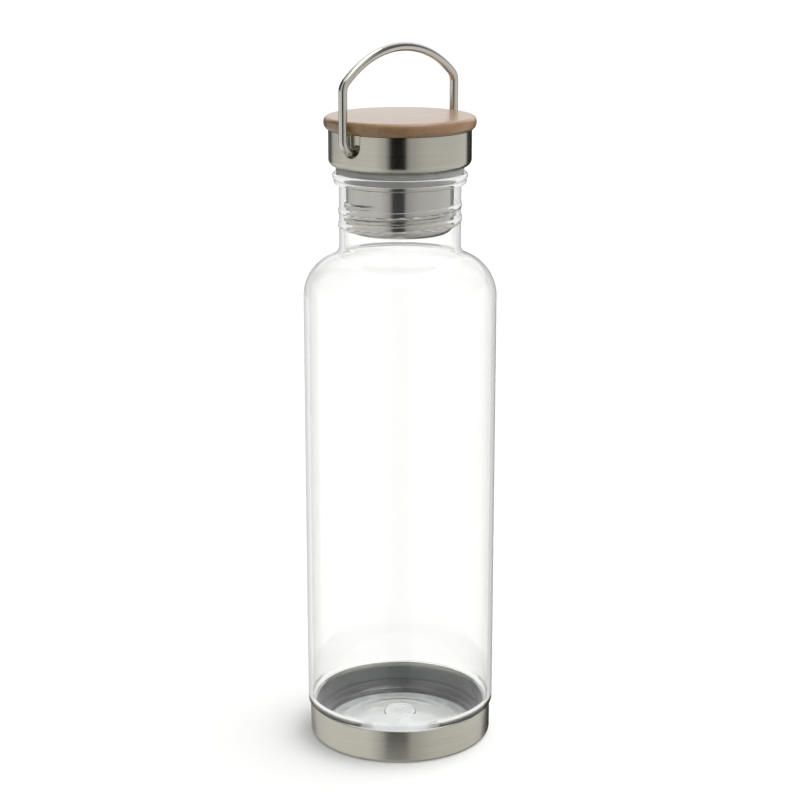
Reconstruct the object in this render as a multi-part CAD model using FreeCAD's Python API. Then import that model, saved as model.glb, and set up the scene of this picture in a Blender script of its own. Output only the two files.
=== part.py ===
import FreeCAD, Part
import math
import os

# A round water bottle: a clear bottle standing in a shallow steel cup, closed by a screw lid that
# has a threaded steel plug, a silicone seal, a steel shell, a bamboo disc and a wire bail handle.
# Millimetres. Origin at the middle of the foot, +Z up the bottle, the handle's pivots along X.

V = FreeCAD.Vector
ORIGIN = V(0, 0, 0)
UP = V(0, 0, 1)
SAME_POINT = 1e-6

# Base cup
CUP_R = 36.4
CUP_RIM_Z = 13.2
CUP_WALL = 0.6
CUP_CORNER_R = 1.6
CUP_RIM_R = 0.25

# Adhesive between the cup's floor and the bottle
GLUE_THICKNESS = 0.3
GLUE_INNER_R = 24.5
GLUE_OUTER_R = 28.5

# Bottle
BODY_R = 37.35
GLASS_WALL = 1.6
FLOOR_EXTRA = 0.1
FOOT_R = 35.5
FOOT_TOP_Z = 13.5
HEEL_R = 6.0
FOOT_EDGE_R = 0.8
INNER_STEP_RISE = 3.6
INNER_STEP_UPPER_R = 2.5
INNER_STEP_DROP = 0.4
INNER_STEP_LOWER_R = 2.0
SHOULDER_START_Z = 180.0
SHOULDER_R = 17.0
SHOULDER_TILT = math.radians(66.0)
NECK_R = 23.4
NECK_FILLET_R = 4.0
LIP_TOP_Z = 228.0
LIP_R = 25.9
LIP_BEAD_HEIGHT = 2.5
LIP_EDGE_R = 1.0
MOUTH_EDGE_R = 0.5
LOWER_BEAD_R = 25.4
LOWER_BEAD_HEIGHT = 1.7
BEAD_GROOVE_R = 24.9
BEAD_GROOVE_HEIGHT = 0.4
BEAD_EDGE_R = 0.7
GROOVE_FILLET_R = 0.1
SMALL_FILLET_R = 0.4
PUSH_UP_R = 22.0
PUSH_UP_FILLET_R = 18.0
PUSH_UP_MIDDLE_R = 14.0
PUSH_UP_MIDDLE_RISE = 2.9
PUSH_UP_MIDDLE_FILLET_R = 30.0
PUSH_UP_RISE = 4.2
MARK_R = 6.3
MARK_SLOPE = 0.5
MARK_RISE = 0.7
MARK_FILLET_R = 0.3
NUB_R = 1.5
NUB_RISE = 0.5
NUB_FILLET_R = 0.2

# Screw thread, right-handed, one start
PITCH = 5.3
THREAD_START_Z = 207.3
THREAD_START_ANGLE = 90.0
THREAD_TURNS = 1.65
THREAD_INNER_R = 21.0
THREAD_OUTER_RISE = 0.35
THREAD_OUTER_HALF = 1.5
THREAD_OUTER_SINK = 0.1
THREAD_ROOT_HALF = 1.1
THREAD_CREST_HALF = 0.5
MALE_CREST_R = 21.5
MALE_ROOT_HALF = 1.0
MALE_CREST_HALF = 0.45
MALE_START_Z = 210.2
MALE_TURNS = 1.25

# Plug
PLUG_R = 20.6
PLUG_BOTTOM_Z = 205.0
PLUG_CORNER_R = 4.0
STEEL = 0.6

# Seal ring
SEAL_FLANGE_R = 24.5
SEAL_FLANGE = 2.5
SEAL_EDGE_R = 0.7
SEAL_SKIRT_R = 21.5
SEAL_SKIRT_DEPTH = 3.4
SEAL_SKIRT_OUTER_EDGE_R = 0.4
SEAL_SKIRT_INNER_EDGE_R = 0.2
SEAL_RUNNING_GAP = 0.05

# Lid shell
SHELL_R = 27.3
SHELL_TOP_Z = 244.3
SHELL_CORNER_R = 2.8
PIVOT_Z = 238.5
POCKET_HALF_WIDTH = 3.85
POCKET_BELOW_PIVOT = 2.2
POCKET_BACK_X = 23.7
WIRE_HOLE_GAP = 0.4

# Lid core
FIT_GAP = 0.05
CORE_BORE_R = 17.9
CORE_FLOOR = 2.0
CORE_BORE_FILLET_R = 2.0
PIVOT_BORE_GAP = 0.05
PIVOT_BORE_END_X = 19.5

# Bamboo disc
DISC_R = 29.0
DISC_THICKNESS = 5.2
DISC_TOP_EDGE_R = 1.9
DISC_BOTTOM_EDGE_R = 2.5
SPIGOT_DEPTH = 1.5
SPIGOT_EDGE_R = 0.4
SPIGOT_GAP = 0.2

# Ring of adhesive under the disc
DISC_GLUE_INNER_R = 18.9
DISC_GLUE_OUTER_R = 22.7

# Bail handle
WIRE_R = 1.65
LEG_X = 31.3
LOWER_BEND_R = 4.5
UPPER_BEND_R = 5.0
ARCH_R = 45.0
ARCH_TOP_Z = 275.1
WIRE_END_X = 19.9

# How far a cutting shape runs past the face that it cuts
OVERCUT = 1.0

# Heights that follow from the sizes above
BOTTLE_FOOT_Z = CUP_WALL + GLUE_THICKNESS
FLOOR_Z = BOTTLE_FOOT_Z + GLASS_WALL + FLOOR_EXTRA
BORE_R = NECK_R - GLASS_WALL
SHELL_BOTTOM_Z = LIP_TOP_Z + SEAL_FLANGE
CORE_TOP_Z = SHELL_TOP_Z - GLUE_THICKNESS
DISC_TOP_Z = SHELL_TOP_Z + DISC_THICKNESS


def rounded_outline(corners):
    """Closed wire in the XZ plane through (r, z, fillet radius) corners, each turn rounded."""
    points = [V(r, 0, z) for r, z, fillet in corners]
    following = points[1:] + points[:1]
    turns = []
    for i, here in enumerate(points):
        fillet = corners[i][2]
        if fillet == 0:
            turns.append((here, here, here))
            continue
        back = (points[i - 1] - here).normalize()
        onward = (following[i] - here).normalize()
        half = back.getAngle(onward) / 2
        reach = fillet / math.tan(half)
        depth = fillet / math.sin(half) - fillet
        bisector = (back + onward).normalize()
        turns.append((here + back * reach, here + bisector * depth, here + onward * reach))
    edges = []
    for i, (start, middle, end) in enumerate(turns):
        previous_end = turns[i - 1][2]
        if previous_end.distanceToPoint(start) > SAME_POINT:
            edges.append(Part.makeLine(previous_end, start))
        if start.distanceToPoint(end) > SAME_POINT:
            edges.append(Part.Arc(start, middle, end).toShape())
    return Part.Wire(edges)


def turned(corners):
    """Solid of revolution about Z of a rounded outline."""
    return Part.Face(rounded_outline(corners)).revolve(ORIGIN, UP, 360)


def cylinder_along_x(radius, x_start, x_end, z):
    return Part.makeCylinder(radius, x_end - x_start, V(x_start, 0, z), V(1, 0, 0))


def helical_rib(outline, start_angle, start_z, turns):
    """Rib with a closed (r, z) outline about z = 0, swept along the thread and domed at both ends."""
    guide_r = outline[0][0]
    points = [V(r, 0, z) for r, z in outline]
    profile = Part.makePolygon(points + points[:1])
    helix = Part.makeHelix(PITCH, PITCH * turns, guide_r)
    rib = Part.Wire(helix.Edges).makePipeShell([profile], True, True)
    upper = [V(r, 0, z) for r, z in outline if z >= 0]
    axis_points = [V(upper[0].x, 0, 0), V(upper[-1].x, 0, 0)]
    half = Part.makePolygon([axis_points[0]] + upper + [axis_points[1], axis_points[0]])
    dome = Part.Face(half).revolve(ORIGIN, V(1, 0, 0), 360)
    last_dome = dome.copy()
    last_dome.rotate(ORIGIN, UP, 360 * turns)
    last_dome.translate(V(0, 0, PITCH * turns))
    whole = rib.fuse([dome, last_dome])
    whole.rotate(ORIGIN, UP, start_angle)
    whole.translate(V(0, 0, start_z))
    return whole


def shoulder_corners(inset):
    """The shoulder's and the neck's turning corners, moved inward by inset across the wall."""
    half_turn = math.tan(SHOULDER_TILT / 2)
    lower_z = SHOULDER_START_Z + SHOULDER_R * half_turn
    upper_z = lower_z + (BODY_R - NECK_R) / math.tan(SHOULDER_TILT)
    drop = inset * half_turn
    lower = (BODY_R - inset, lower_z - drop, SHOULDER_R - inset)
    upper = (NECK_R - inset, upper_z - drop, NECK_FILLET_R + inset)
    return lower, upper


def glass_bottle():
    lower_bead_top = LIP_TOP_Z - LIP_BEAD_HEIGHT
    lower_bead_bottom = lower_bead_top - LOWER_BEAD_HEIGHT
    groove_top = lower_bead_top + BEAD_GROOVE_HEIGHT
    outer_shoulder, outer_neck = shoulder_corners(0)
    inner_shoulder, inner_neck = shoulder_corners(GLASS_WALL)
    foot_bore_r = FOOT_R - GLASS_WALL
    body_bore_r = BODY_R - GLASS_WALL
    mark_top_r = MARK_R - MARK_SLOPE
    mark_z = FLOOR_Z + PUSH_UP_RISE + MARK_RISE
    under_mark_z = BOTTLE_FOOT_Z + PUSH_UP_RISE + MARK_RISE
    outside = [
        (MARK_R, BOTTLE_FOOT_Z + PUSH_UP_RISE, MARK_FILLET_R),
        (PUSH_UP_MIDDLE_R, BOTTLE_FOOT_Z + PUSH_UP_MIDDLE_RISE, PUSH_UP_MIDDLE_FILLET_R),
        (PUSH_UP_R, BOTTLE_FOOT_Z, PUSH_UP_FILLET_R),
        (FOOT_R, BOTTLE_FOOT_Z, HEEL_R),
        (FOOT_R, FOOT_TOP_Z, SMALL_FILLET_R),
        (BODY_R, FOOT_TOP_Z, FOOT_EDGE_R),
        outer_shoulder,
        outer_neck,
        (NECK_R, lower_bead_bottom, SMALL_FILLET_R),
        (LOWER_BEAD_R, lower_bead_bottom, BEAD_EDGE_R),
        (LOWER_BEAD_R, lower_bead_top, SMALL_FILLET_R),
        (BEAD_GROOVE_R, lower_bead_top, GROOVE_FILLET_R),
        (BEAD_GROOVE_R, groove_top, GROOVE_FILLET_R),
        (LIP_R, groove_top, BEAD_EDGE_R),
        (LIP_R, LIP_TOP_Z, LIP_EDGE_R),
    ]
    inside = [
        (BORE_R, LIP_TOP_Z, MOUTH_EDGE_R),
        inner_neck,
        inner_shoulder,
        (body_bore_r, FOOT_TOP_Z + INNER_STEP_RISE, INNER_STEP_UPPER_R),
        (foot_bore_r, FOOT_TOP_Z - INNER_STEP_DROP, INNER_STEP_LOWER_R),
        (foot_bore_r, FLOOR_Z, HEEL_R - GLASS_WALL),
        (PUSH_UP_R, FLOOR_Z, PUSH_UP_FILLET_R),
        (PUSH_UP_MIDDLE_R, FLOOR_Z + PUSH_UP_MIDDLE_RISE, PUSH_UP_MIDDLE_FILLET_R),
        (MARK_R, FLOOR_Z + PUSH_UP_RISE, MARK_FILLET_R),
        (mark_top_r, mark_z, MARK_FILLET_R),
        (NUB_R, mark_z, NUB_FILLET_R),
        (NUB_R, mark_z + NUB_RISE, NUB_FILLET_R),
        (0, mark_z + NUB_RISE, 0),
        (0, under_mark_z, 0),
        (mark_top_r, under_mark_z, MARK_FILLET_R),
    ]
    crest_r = NECK_R + THREAD_OUTER_RISE
    sunk_r = NECK_R - THREAD_OUTER_SINK
    rib = helical_rib(
        [
            (THREAD_INNER_R, -THREAD_CREST_HALF),
            (BORE_R, -THREAD_ROOT_HALF),
            (sunk_r, -THREAD_OUTER_HALF),
            (crest_r, -THREAD_OUTER_HALF / 2),
            (crest_r, THREAD_OUTER_HALF / 2),
            (sunk_r, THREAD_OUTER_HALF),
            (BORE_R, THREAD_ROOT_HALF),
            (THREAD_INNER_R, THREAD_CREST_HALF),
        ],
        THREAD_START_ANGLE, THREAD_START_Z, THREAD_TURNS,
    )
    return turned(outside + inside).fuse(rib)


def base_cup():
    return turned([
        (0, 0, 0),
        (CUP_R, 0, CUP_CORNER_R),
        (CUP_R, CUP_RIM_Z, CUP_RIM_R),
        (CUP_R - CUP_WALL, CUP_RIM_Z, CUP_RIM_R),
        (CUP_R - CUP_WALL, CUP_WALL, CUP_CORNER_R - CUP_WALL),
        (0, CUP_WALL, 0),
    ])


def base_adhesive():
    return turned([
        (GLUE_INNER_R, CUP_WALL, 0),
        (GLUE_OUTER_R, CUP_WALL, 0),
        (GLUE_OUTER_R, BOTTLE_FOOT_Z, 0),
        (GLUE_INNER_R, BOTTLE_FOOT_Z, 0),
    ])


def seal_ring():
    inner_r = PLUG_R + SEAL_RUNNING_GAP
    skirt_z = LIP_TOP_Z - SEAL_SKIRT_DEPTH
    return turned([
        (inner_r, skirt_z, SEAL_SKIRT_INNER_EDGE_R),
        (SEAL_SKIRT_R, skirt_z, SEAL_SKIRT_OUTER_EDGE_R),
        (SEAL_SKIRT_R, LIP_TOP_Z, 0),
        (SEAL_FLANGE_R, LIP_TOP_Z, SEAL_EDGE_R),
        (SEAL_FLANGE_R, SHELL_BOTTOM_Z, SEAL_EDGE_R),
        (inner_r, SHELL_BOTTOM_Z, 0),
    ])


def plug_cup():
    half_pitch_below = THREAD_START_Z - PITCH / 2
    turns_up = (MALE_START_Z - half_pitch_below) / PITCH
    start_angle = THREAD_START_ANGLE + 360 * turns_up
    cup = turned([
        (0, PLUG_BOTTOM_Z, 0),
        (PLUG_R, PLUG_BOTTOM_Z, PLUG_CORNER_R),
        (PLUG_R, SHELL_BOTTOM_Z, 0),
        (PLUG_R - STEEL, SHELL_BOTTOM_Z, 0),
        (PLUG_R - STEEL, PLUG_BOTTOM_Z + STEEL, PLUG_CORNER_R - STEEL),
        (0, PLUG_BOTTOM_Z + STEEL, 0),
    ])
    root_r = PLUG_R - STEEL / 2
    rib = helical_rib(
        [
            (root_r, -MALE_ROOT_HALF),
            (MALE_CREST_R, -MALE_CREST_HALF),
            (MALE_CREST_R, MALE_CREST_HALF),
            (root_r, MALE_ROOT_HALF),
        ],
        start_angle, MALE_START_Z, MALE_TURNS,
    )
    return cup.fuse(rib)


def pocket_block(grow, back_x):
    """U-shaped block open at the top, from back_x outward on the +X side, grown all round."""
    half = POCKET_HALF_WIDTH + grow
    arc_z = PIVOT_Z - POCKET_BELOW_PIVOT + POCKET_HALF_WIDTH
    length = SHELL_R + OVERCUT - back_x
    round_part = Part.makeCylinder(half, length, V(back_x, 0, arc_z), V(1, 0, 0))
    height = SHELL_TOP_Z + OVERCUT - arc_z
    straight_part = Part.makeBox(length, 2 * half, height, V(back_x, -half, arc_z))
    return round_part.fuse(straight_part)


def on_both_sides(shape):
    other = shape.copy()
    other.rotate(ORIGIN, UP, 180)
    return shape.fuse(other)


def lid_shell():
    inside_r = SHELL_R - STEEL
    envelope = turned([
        (0, SHELL_BOTTOM_Z, 0),
        (SHELL_R, SHELL_BOTTOM_Z, SHELL_CORNER_R),
        (SHELL_R, SHELL_TOP_Z, 0),
        (0, SHELL_TOP_Z, 0),
    ])
    hollow = turned([
        (0, SHELL_BOTTOM_Z + STEEL, 0),
        (inside_r, SHELL_BOTTOM_Z + STEEL, SHELL_CORNER_R - STEEL),
        (inside_r, SHELL_TOP_Z + OVERCUT, 0),
        (0, SHELL_TOP_Z + OVERCUT, 0),
    ])
    hole_start = V(0, 0, SHELL_BOTTOM_Z - OVERCUT)
    plug_hole = Part.makeCylinder(PLUG_R - STEEL, STEEL + 2 * OVERCUT, hole_start)
    pocket_walls = on_both_sides(pocket_block(STEEL, POCKET_BACK_X - STEEL)).common(envelope)
    pockets = on_both_sides(pocket_block(0, POCKET_BACK_X))
    wire_hole_r = WIRE_R + WIRE_HOLE_GAP
    wire_holes = cylinder_along_x(wire_hole_r, -SHELL_R, SHELL_R, PIVOT_Z)
    return envelope.cut([hollow, plug_hole]).fuse(pocket_walls).cut([pockets, wire_holes])


def lid_core():
    head_r = SHELL_R - STEEL - FIT_GAP
    head_z = SHELL_BOTTOM_Z + STEEL
    stem_r = PLUG_R - STEEL - FIT_GAP
    stem_z = PLUG_BOTTOM_Z + STEEL
    body = turned([
        (0, stem_z, 0),
        (stem_r, stem_z, PLUG_CORNER_R - STEEL),
        (stem_r, head_z, 0),
        (head_r, head_z, SHELL_CORNER_R - STEEL),
        (head_r, CORE_TOP_Z, 0),
        (CORE_BORE_R, CORE_TOP_Z, 0),
        (CORE_BORE_R, stem_z + CORE_FLOOR, CORE_BORE_FILLET_R),
        (0, stem_z + CORE_FLOOR, 0),
    ])
    pocket_room = on_both_sides(pocket_block(STEEL + FIT_GAP, POCKET_BACK_X - STEEL - FIT_GAP))
    bore = cylinder_along_x(WIRE_R + PIVOT_BORE_GAP, PIVOT_BORE_END_X, SHELL_R, PIVOT_Z)
    return body.cut([pocket_room, on_both_sides(bore)])


def disc_adhesive():
    return turned([
        (DISC_GLUE_INNER_R, CORE_TOP_Z, 0),
        (DISC_GLUE_OUTER_R, CORE_TOP_Z, 0),
        (DISC_GLUE_OUTER_R, SHELL_TOP_Z, 0),
        (DISC_GLUE_INNER_R, SHELL_TOP_Z, 0),
    ])


def bamboo_disc():
    spigot_r = CORE_BORE_R - SPIGOT_GAP
    return turned([
        (0, SHELL_TOP_Z - SPIGOT_DEPTH, 0),
        (spigot_r, SHELL_TOP_Z - SPIGOT_DEPTH, SPIGOT_EDGE_R),
        (spigot_r, SHELL_TOP_Z, 0),
        (DISC_R, SHELL_TOP_Z, DISC_BOTTOM_EDGE_R),
        (DISC_R, DISC_TOP_Z, DISC_TOP_EDGE_R),
        (0, DISC_TOP_Z, 0),
    ])


def bail_handle():
    """Wire bent in the XZ plane: two inward ends, two legs and an arch, all joined by tangent arcs."""
    slant = math.sqrt(0.5)
    arch_centre_z = ARCH_TOP_Z - ARCH_R
    corner_x = LEG_X - UPPER_BEND_R
    corner_z = arch_centre_z + math.sqrt((ARCH_R - UPPER_BEND_R) ** 2 - corner_x ** 2)
    arch_angle = math.atan2(corner_z - arch_centre_z, corner_x)
    arch_end = V(ARCH_R * math.cos(arch_angle), 0, arch_centre_z + ARCH_R * math.sin(arch_angle))
    corner_mid = V(
        corner_x + UPPER_BEND_R * math.cos(arch_angle / 2), 0,
        corner_z + UPPER_BEND_R * math.sin(arch_angle / 2),
    )
    bend_x = LEG_X - LOWER_BEND_R
    bend_z = PIVOT_Z + LOWER_BEND_R
    right_side = [
        V(WIRE_END_X, 0, PIVOT_Z),
        V(bend_x, 0, PIVOT_Z),
        V(bend_x + LOWER_BEND_R * slant, 0, bend_z - LOWER_BEND_R * slant),
        V(LEG_X, 0, bend_z),
        V(LEG_X, 0, corner_z),
        corner_mid,
        arch_end,
    ]
    left_side = [V(-p.x, 0, p.z) for p in right_side]
    end, bend_in, bend_mid, leg_low, leg_high, turn_mid, arch_start = right_side
    end_2, bend_in_2, bend_mid_2, leg_low_2, leg_high_2, turn_mid_2, arch_start_2 = left_side
    path = Part.Wire([
        Part.makeLine(end, bend_in),
        Part.Arc(bend_in, bend_mid, leg_low).toShape(),
        Part.makeLine(leg_low, leg_high),
        Part.Arc(leg_high, turn_mid, arch_start).toShape(),
        Part.Arc(arch_start, V(0, 0, ARCH_TOP_Z), arch_start_2).toShape(),
        Part.Arc(arch_start_2, turn_mid_2, leg_high_2).toShape(),
        Part.makeLine(leg_high_2, leg_low_2),
        Part.Arc(leg_low_2, bend_mid_2, bend_in_2).toShape(),
        Part.makeLine(bend_in_2, end_2),
    ])
    section = Part.Wire(Part.makeCircle(WIRE_R, end, V(1, 0, 0)))
    return path.makePipeShell([section], True, True)


NODES = {
    "glass_bottle": glass_bottle,
    "base_cup": base_cup,
    "base_adhesive": base_adhesive,
    "seal_ring": seal_ring,
    "lid_shell": lid_shell,
    "lid_core": lid_core,
    "plug_cup": plug_cup,
    "disc_adhesive": disc_adhesive,
    "bamboo_disc": bamboo_disc,
    "bail_handle": bail_handle,
}

os.makedirs("parts", exist_ok=True)
for name, make in NODES.items():
    shape = make()
    if not shape.isValid() or len(shape.Solids) != 1:
        raise RuntimeError(f"{name}: valid {shape.isValid()}, {len(shape.Solids)} solids")
    solid = shape.Solids[0]
    solid.exportStep(f"parts/{name}.step")
    print(f"{name}: {solid.Volume:.0f} mm3, {len(solid.Faces)} faces")
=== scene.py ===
import math

import bpy
import numpy as np
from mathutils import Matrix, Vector


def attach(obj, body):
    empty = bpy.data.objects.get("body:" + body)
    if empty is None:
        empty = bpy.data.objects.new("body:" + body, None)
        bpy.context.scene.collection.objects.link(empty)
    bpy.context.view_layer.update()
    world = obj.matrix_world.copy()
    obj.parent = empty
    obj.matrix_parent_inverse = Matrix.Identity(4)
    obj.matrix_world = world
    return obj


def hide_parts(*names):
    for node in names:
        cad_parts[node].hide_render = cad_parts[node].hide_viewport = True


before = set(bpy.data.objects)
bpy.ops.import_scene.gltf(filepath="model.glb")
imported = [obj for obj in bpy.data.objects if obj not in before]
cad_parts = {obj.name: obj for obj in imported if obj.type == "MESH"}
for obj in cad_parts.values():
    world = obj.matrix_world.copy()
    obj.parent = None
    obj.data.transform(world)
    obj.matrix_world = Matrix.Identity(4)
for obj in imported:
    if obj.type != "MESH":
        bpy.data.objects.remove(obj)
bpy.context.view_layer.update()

# Lengths are written in millimetres and turned into metres when a mesh is made.
MM = 0.001
TURN = 2 * math.pi

# Outlines and meshes
SAME_POINT = 1e-4  # points nearer than this are one
SAME_SHARE = 0.001  # cuts nearer than this to the end of a line, as a share of it, are left out
ON_AXIS_R = 1e-6
ON_WALL = 0.01  # how far from a wall's radius a point still counts as on it
FEWEST_STEPS = 3
COLUMNS = 192
ALL_ROUND = np.arange(COLUMNS) * TURN / COLUMNS
SHARP_ANGLE = math.radians(40.0)

# Steel foot cup
CUP_R = 36.4
CUP_RIM_Z = 13.2
CUP_WALL = 0.6
CUP_CORNER_R = 1.6
CUP_RIM_R = 0.25

# Inside of the cup: painted light on the floor, then painted shade on the wall, then the rim in plain steel
PAINTED_INSIDE_MARGIN = 0.1
PAINTED_INSIDE_FADE = 0.2
PAINTED_LIGHT_FLOOR_R = 29.0
PAINTED_LIGHT_FLOOR_EDGE_R = 30.5
PAINTED_SHADE_WALL_TOP_Z = 10.8
PAINTED_SHADE_END_Z = 12.2
PAINTED_LIGHT_FLOOR_NOT_METAL = 0.80

# Clear bottle
BODY_R = 37.35
GLASS_WALL = 1.6
BOTTLE_FOOT_Z = 0.9
FLOOR_Z = 2.6
FOOT_R = 35.5
FOOT_TOP_Z = 13.5
HEEL_R = 6.0
FOOT_EDGE_R = 0.8
SHOULDER_START_Z = 180.0
SHOULDER_R = 17.0
SHOULDER_TILT = math.radians(66.0)
NECK_R = 23.4
NECK_FILLET_R = 4.0
BORE_R = 21.8
LIP_TOP_Z = 228.0
LIP_R = 25.9
LIP_BEAD_HEIGHT = 2.5
LOWER_BEAD_R = 25.4
LOWER_BEAD_HEIGHT = 1.7
BEAD_GROOVE_R = 24.9
SMALL_FILLET_R = 0.4
BEAD_FILLET_R = 0.7
BEAD_GROOVE_HEIGHT = 0.4
BEAD_GROOVE_FILLET_R = 0.1
LIP_FILLET_R = 1.0
MOUTH_FILLET_R = 0.5
INNER_STEP_RISE = 3.6
INNER_STEP_DROP = 0.4
INNER_STEP_UPPER_R = 2.5
INNER_STEP_LOWER_R = 2.0
PUSH_UP_R = 22.0
PUSH_UP_FILLET_R = 18.0
PUSH_UP_MIDDLE_R = 14.0
PUSH_UP_MIDDLE_RISE = 2.9
PUSH_UP_MIDDLE_FILLET_R = 30.0
PUSH_UP_RISE = 4.2
MARK_R = 6.3
MARK_DRAFT = 0.5
MARK_RISE = 0.7
MARK_FILLET_R = 0.3
NUB_R = 1.5
NUB_RISE = 0.5
NUB_FILLET_R = 0.2
BODY_ROWS_LOW_Z = 20.0
BODY_ROWS_HIGH_Z = 175.0
BODY_ROW = 12.0

# Screw thread: a rib in the neck, which shows on its outside too, and one rolled in the plug
PITCH = 5.3
FEMALE_START_Z = 207.3
FEMALE_START = math.radians(90.0)
FEMALE_TURNS = 1.65
FEMALE_RUN_OUT = 0.05
FEMALE_INNER_RISE = 0.8
FEMALE_INNER_HALF = 1.1
FEMALE_INNER_FLANK = 0.6
FEMALE_OUTER_RISE = 0.35
FEMALE_OUTER_HALF = 1.5
FEMALE_OUTER_FLANK = 0.9
MALE_START_Z = 210.2
# Half a pitch above the rib in the neck, so that the two pass each other.
MALE_START = math.radians(466.98)
MALE_TURNS = 1.25
MALE_RUN_OUT = 0.04
MALE_RISE = 0.9
MALE_HALF = 1.0
MALE_FLANK = 0.55
THREAD_LOW_Z = 205.4
THREAD_HIGH_Z = 218.2
THREAD_ROW = 0.2
PLUG_THREAD_LOW_Z = 208.0
PLUG_THREAD_HIGH_Z = 220.0

# Plug
STEEL = 0.6
PLUG_R = 20.6
PLUG_BOTTOM_Z = 205.0
PLUG_CORNER_R = 4.0

# Seal
SEAL_R = 24.5
SEAL_EDGE_R = 0.7
SEAL_SKIRT_R = 21.5
SEAL_SKIRT_Z = 224.6
SEAL_SKIRT_OUTER_FILLET_R = 0.4
SEAL_SKIRT_INNER_FILLET_R = 0.2
SEAL_INNER_R = 20.65
SEAL_SEAM_Z = 226.0  # where the outline begins and closes

# Lid shell, with a pocket for the handle at each side
SHELL_R = 27.3
SHELL_BOTTOM_Z = 230.5
SHELL_TOP_Z = 244.3
SHELL_CORNER_R = 2.8
SHELL_SEAM_R = 22.0  # where the outline begins and closes
SHELL_SHARP_ANGLE = math.radians(62.0)
PIVOT_Z = 238.5
POCKET_HALF = 3.85
POCKET_BACK_X = 23.7
POCKET_ARC_Z = 240.15
POCKET_EDGE_R = 0.7
POCKET_INNER_EDGE_R = 0.2
POCKET_WALL_RUN = 0.15
POCKET_BACK_FILLET_R = 0.45
POCKET_ROWS_LOW_Z = 235.0
POCKET_ROW = 0.1
POCKET_COLUMNS_HALF = 5.4
SHELL_SIDE_COLUMNS = 84
WIRE_HOLE_R = 2.05
WIRE_HOLE_SIDES = 64

# Bamboo disc
DISC_R = 29.0
DISC_TOP_Z = 249.5
DISC_TOP_EDGE_R = 1.9
DISC_BOTTOM_EDGE_R = 2.5
SPIGOT_R = 17.7
SPIGOT_Z = 242.8
SPIGOT_EDGE_R = 0.4
BAMBOO_STRIP = 6.2

# Wire handle
WIRE_R = 1.65
WIRE_END_X = 19.9
LEG_X = 31.3
LOWER_BEND_R = 4.5
UPPER_BEND_R = 5.0
ARCH_R = 45.0
ARCH_TOP_Z = 275.1
WIRE_END_POINTS = 6
LEG_POINTS = 8
BEND_STEP = math.radians(4.0)
ARCH_STEP = math.radians(1.5)
WIRE_SIDES = 36
WIRE_CHAMFER = 0.3


# ---------------------------------------------------------------- meshes

def fillet_step(fillet):
    """Angle between points on a fillet, which is smaller on a larger one."""
    for largest, degrees in ((1.0, 15.0), (5.0, 6.0)):
        if fillet <= largest:
            return math.radians(degrees)
    return math.radians(3.0)


def rounded(corners):
    """Points (r, z) along an open line through (r, z, fillet radius) corners."""
    points = [np.array(c[:2], float) for c in corners]
    line = [points[0]]
    for before, here, after, (_, _, fillet) in zip(points, points[1:], points[2:], corners[1:]):
        if fillet == 0:
            line.append(here)
            continue
        back = (before - here) / np.linalg.norm(before - here)
        onward = (after - here) / np.linalg.norm(after - here)
        half = math.acos(float(back @ onward)) / 2
        bisector = (back + onward) / np.linalg.norm(back + onward)
        centre = here + bisector * fillet / math.sin(half)
        start = here + back * fillet / math.tan(half) - centre
        end = here + onward * fillet / math.tan(half) - centre
        sweep = math.pi - 2 * half
        count = max(FEWEST_STEPS, math.ceil(sweep / fillet_step(fillet)))
        for i in range(count + 1):
            t = i / count
            blend = math.sin((1 - t) * sweep) * start + math.sin(t * sweep) * end
            line.append(centre + blend / math.sin(sweep))
    line.append(points[-1])
    kept = [line[0]]
    for point in line[1:]:
        if np.linalg.norm(point - kept[-1]) > SAME_POINT:
            kept.append(point)
    return np.array(kept)


def refined(line, low_z, high_z, row, low_r=0.0):
    """The line with points at most row apart between two heights, where it is farther out than low_r."""
    result = [line[0]]
    for a, b in zip(line, line[1:]):
        cuts = [0.0, 1.0]
        if abs(b[1] - a[1]) > row and max(a[0], b[0]) > low_r:
            for z in np.arange(low_z, high_z + row / 2, row):
                t = (z - a[1]) / (b[1] - a[1])
                if SAME_SHARE < t < 1 - SAME_SHARE:
                    cuts.append(t)
        result += [a + (b - a) * t for t in sorted(cuts)[1:]]
    return np.array(result)


def smooth(t):
    t = np.clip(t, 0, 1)
    return t * t * (3 - 2 * t)


def in_scene(name, data):
    made = bpy.data.objects.new(name, data)
    bpy.context.scene.collection.objects.link(made)
    return made


def mesh_object(name, vertices, faces, sharp_angle=SHARP_ANGLE):
    """Smooth-shaded mesh from vertices in millimetres."""
    mesh = bpy.data.meshes.new(name)
    mesh.from_pydata((np.asarray(vertices) * MM).tolist(), [], faces)
    mesh.validate()
    mesh.shade_smooth()
    mesh.set_sharp_from_angle(angle=sharp_angle)
    return in_scene(name, mesh)


def grid_faces(rows, columns, rows_wrap, first_pole, last_pole):
    """Quads of a grid whose columns wrap round, with triangles at a first or last row of one point."""
    starts = []
    total = 0
    for i in range(rows):
        starts.append(total)
        single = (i == 0 and first_pole) or (i == rows - 1 and last_pole)
        total += 1 if single else columns
    faces = []
    for i in range(rows if rows_wrap else rows - 1):
        k = (i + 1) % rows
        for j in range(columns):
            m = (j + 1) % columns
            if i == 0 and first_pole:
                faces.append((starts[0], starts[k] + m, starts[k] + j))
            elif k == rows - 1 and last_pole:
                faces.append((starts[i] + j, starts[i] + m, starts[k]))
            else:
                faces.append((starts[i] + j, starts[i] + m, starts[k] + m, starts[k] + j))
    return faces


def plainly_round(angle, r, z):
    return r * np.cos(angle), r * np.sin(angle), z


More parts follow.
